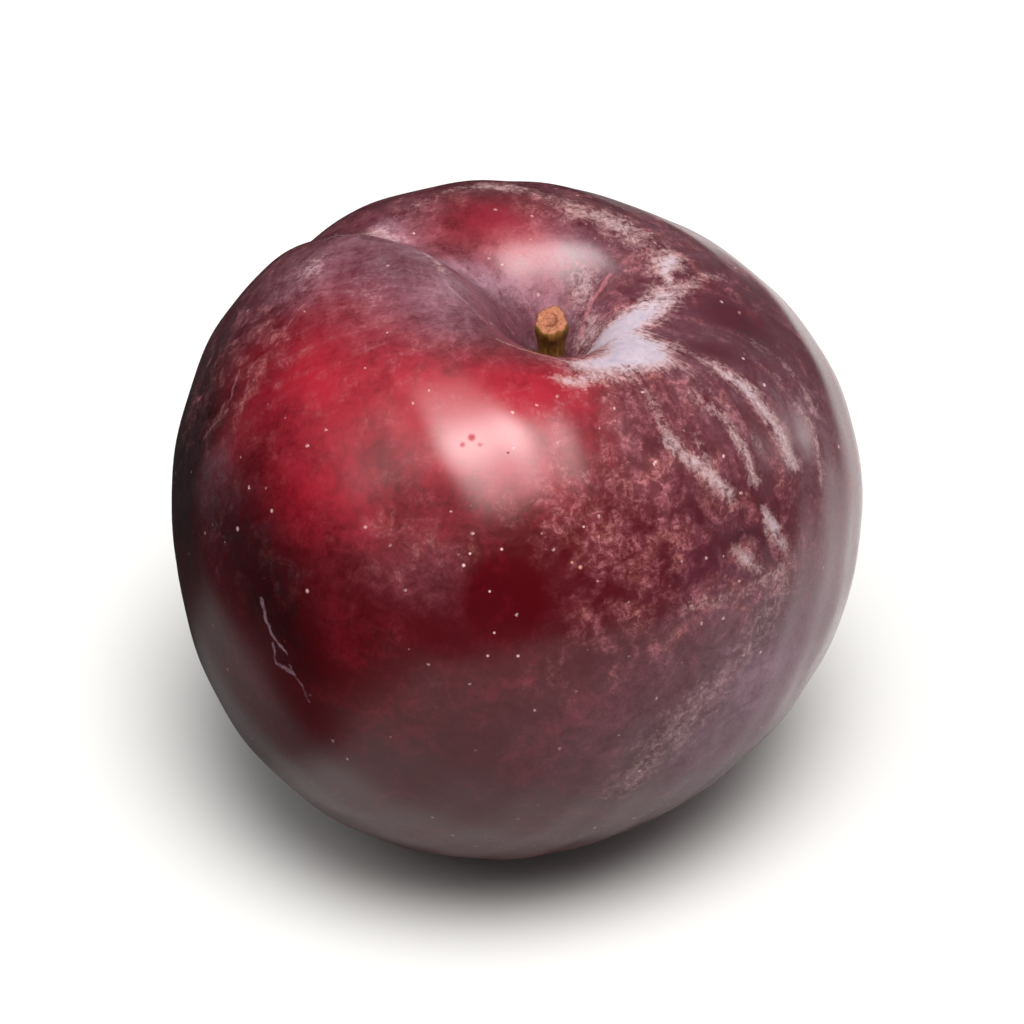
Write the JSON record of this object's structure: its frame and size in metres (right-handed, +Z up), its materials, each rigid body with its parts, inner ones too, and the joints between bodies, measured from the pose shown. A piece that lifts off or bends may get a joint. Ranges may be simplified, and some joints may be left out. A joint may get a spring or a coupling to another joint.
{
  "type": "plum",
  "caption": "Ripe red plum with a deep stem cavity, a suture down its rear left side and a short cut stem, standing on a small flat spot.",
  "frame": {"origin": "on the surface it stands on, under the middle of the fruit", "axes": "+Z up, towards the stem, -Y towards the front, +X to the viewer's right"},
  "size_m": [0.0624, 0.0598, 0.0588],
  "materials": {
    "skin": "thin waxy skin, satin gloss under a pale patchy bloom",
    "stem": "dry olive-brown bark with a rough tan cut end"
  },
  "bodies": {
    "root": {"fruit": "skin", "stem": "stem"}
  },
  "joints": []
}
